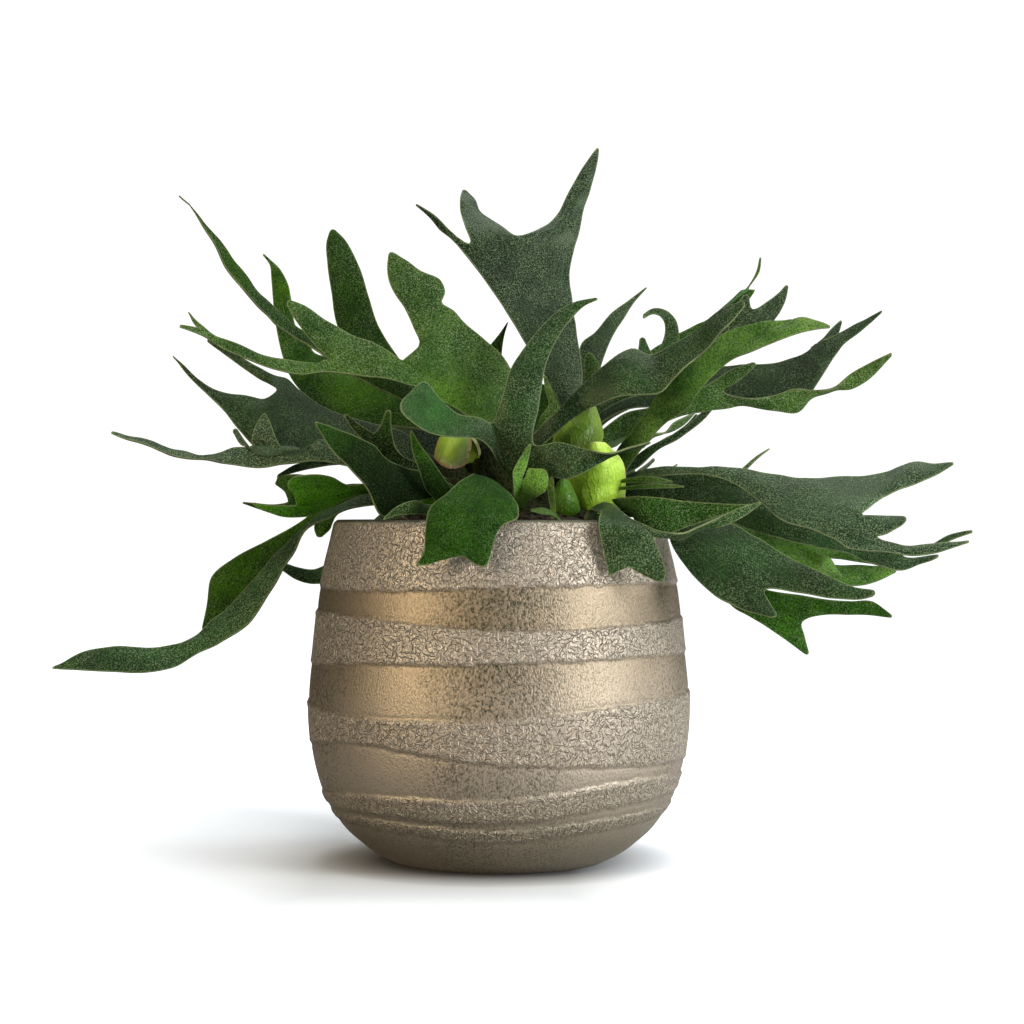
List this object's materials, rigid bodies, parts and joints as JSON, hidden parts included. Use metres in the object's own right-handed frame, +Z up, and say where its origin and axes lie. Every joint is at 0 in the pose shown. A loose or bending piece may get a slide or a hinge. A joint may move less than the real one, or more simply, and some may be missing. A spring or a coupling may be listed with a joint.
{
  "type": "potted fern",
  "caption": "Staghorn fern with forked antler fronds and rounded shield fronds, growing in a bellied glazed pot with wavy rough bands.",
  "frame": {"origin": "on the table under the middle of the pot's foot", "axes": "+Z up, -Y towards the front that the picture shows, +X to its right"},
  "size_m": [0.4716, 0.2705, 0.3871],
  "materials": {
    "glaze": "champagne-bronze metallic glaze, satin, with rough and finely pitted bands",
    "mix": "brown moist crumbs and bark, matte",
    "stem": "brown scaly creeping stem, matte",
    "shield": "bright yellow-green, netted, satin",
    "grey": "grey-green with whitish felt specks, satin",
    "dark": "dark green with thin felt, satin",
    "fresh": "fresh mid green, satin",
    "pale": "light green, felted, satin"
  },
  "bodies": {
    "root": {"frond_top": "grey", "frond_front_upright": "dark", "frond_young_front": "pale", "frond_front_hanging": "fresh", "frond_front_rim": "pale", "frond_left_mid": "dark", "frond_left_narrow": "fresh", "frond_left_antler_small": "fresh", "frond_left_big": "dark", "frond_left_felty": "grey", "frond_left_dark_strap": "dark", "frond_light_green": "fresh", "frond_dark_finger": "dark", "frond_long_thin": "fresh", "frond_left_inner": "dark", "frond_left_low_bright": "fresh", "frond_left_low_long": "dark", "frond_left_low_back": "fresh", "frond_behind_pot": "dark", "frond_right_front": "grey", "frond_hook": "dark", "frond_right_long": "grey", "frond_right_dark": "dark", "frond_right_pale": "pale", "frond_right_back_light": "fresh", "frond_right_back_dark": "dark", "frond_behind_top": "dark", "frond_small_light": "pale", "frond_young_stalk": "pale", "frond_right_small_pair": "dark", "frond_right_large": "grey", "frond_right_large_back": "dark", "frond_right_between": "dark", "frond_right_low_front": "dark", "frond_right_low_bright": "fresh", "frond_right_front_small": "grey", "frond_young_back": "fresh", "frond_far_upright_right": "dark", "frond_far_upright_left": "dark", "shield_upper": "shield", "shield_lower": "shield", "shield_small": "shield", "shield_hanging": "shield", "frond_far_right": "grey", "frond_far_right_inner": "grey", "frond_far_right_upper": "pale", "frond_far_middle": "dark", "frond_far_middle_low": "fresh", "frond_far_left_upper": "dark", "frond_far_left_inner": "dark", "frond_far_left": "fresh", "rhizome": "stem", "potting_mix": "mix", "pot": "glaze"}
  },
  "joints": []
}
